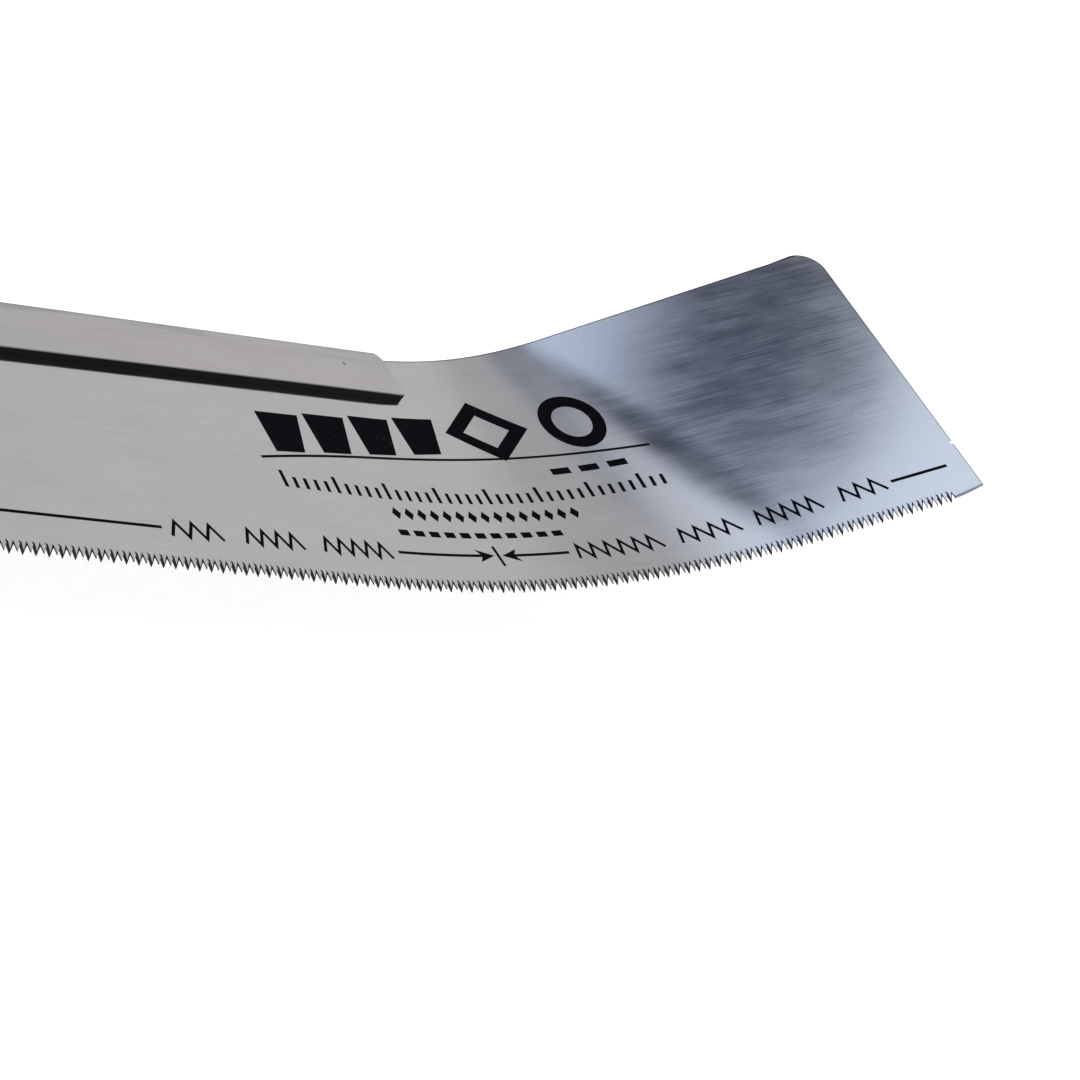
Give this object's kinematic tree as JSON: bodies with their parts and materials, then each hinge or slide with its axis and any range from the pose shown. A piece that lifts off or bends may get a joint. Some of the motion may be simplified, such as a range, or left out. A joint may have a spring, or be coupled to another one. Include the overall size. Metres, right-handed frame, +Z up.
{
  "type": "japanese pull saw",
  "caption": "Dozuki pull saw: thin flexed steel blade with a folded spine, slid into a rattan-wrapped wooden handle and clamped by a thumbscrew.",
  "frame": {"origin": "centre of the saw's footprint, on the plane that the bands of the flat-sided handle rest on", "axes": "+X along the blade from handle to tip, +Y from the tooth line to the spine, +Z up, square to the flat part of the blade"},
  "size_m": [0.5784, 0.0588, 0.0474],
  "materials": {
    "blade_steel": "thin rolled saw steel, fine grinding lines along the blade, bright",
    "spine_steel": "folded mild-steel strip, plain satin",
    "sheet_steel": "pressed sheet steel, satin",
    "fastener_steel": "plain steel wire and nut",
    "brass": "turned brass",
    "wood": "pale straight-grained softwood, unvarnished",
    "rattan": "split rattan cane wound edge to edge",
    "black_plastic": "matt black moulded plastic"
  },
  "bodies": {
    "handle": {"handle_half_upper": "wood", "handle_half_lower": "wood", "blade_holder": "sheet_steel", "holder_rivet_front": "fastener_steel", "holder_rivet_rear": "fastener_steel", "stop_pin": "fastener_steel", "clamp_plate": "sheet_steel", "lock_nut": "fastener_steel", "ferrule": "sheet_steel", "ferrule_pin": "fastener_steel", "rattan_wrap": "rattan", "wrap_band_front": "black_plastic", "wrap_tack_front": "brass", "wrap_band_rear": "black_plastic", "wrap_tack_rear": "brass", "butt_cap": "black_plastic", "butt_screw": "fastener_steel"},
    "blade_unit": {"saw_blade": "blade_steel", "spine": "spine_steel"},
    "washer": {"lock_washer": "brass"},
    "clamp_screw": {"lock_screw": "brass"}
  },
  "joints": [
    {"name": "blade_slide", "type": "slide", "parent": "handle", "child": "blade_unit", "axis": [1, 0, 0], "range_m": [0, 0.065]},
    {"name": "washer_travel", "type": "slide", "parent": "handle", "child": "washer", "axis": [0, 0, 1], "range_m": [0, 0.0022]},
    {"name": "screw_turn", "type": "hinge", "parent": "washer", "child": "clamp_screw", "pos_m": [0.00513, -0.00338, 0.01906], "axis": [0, 0, 1], "range_deg": [0, 1080]}
  ],
  "couplings": [
    {"joint": "washer_travel", "follows": "screw_turn", "m_per_rad": 0.00011141}
  ]
}
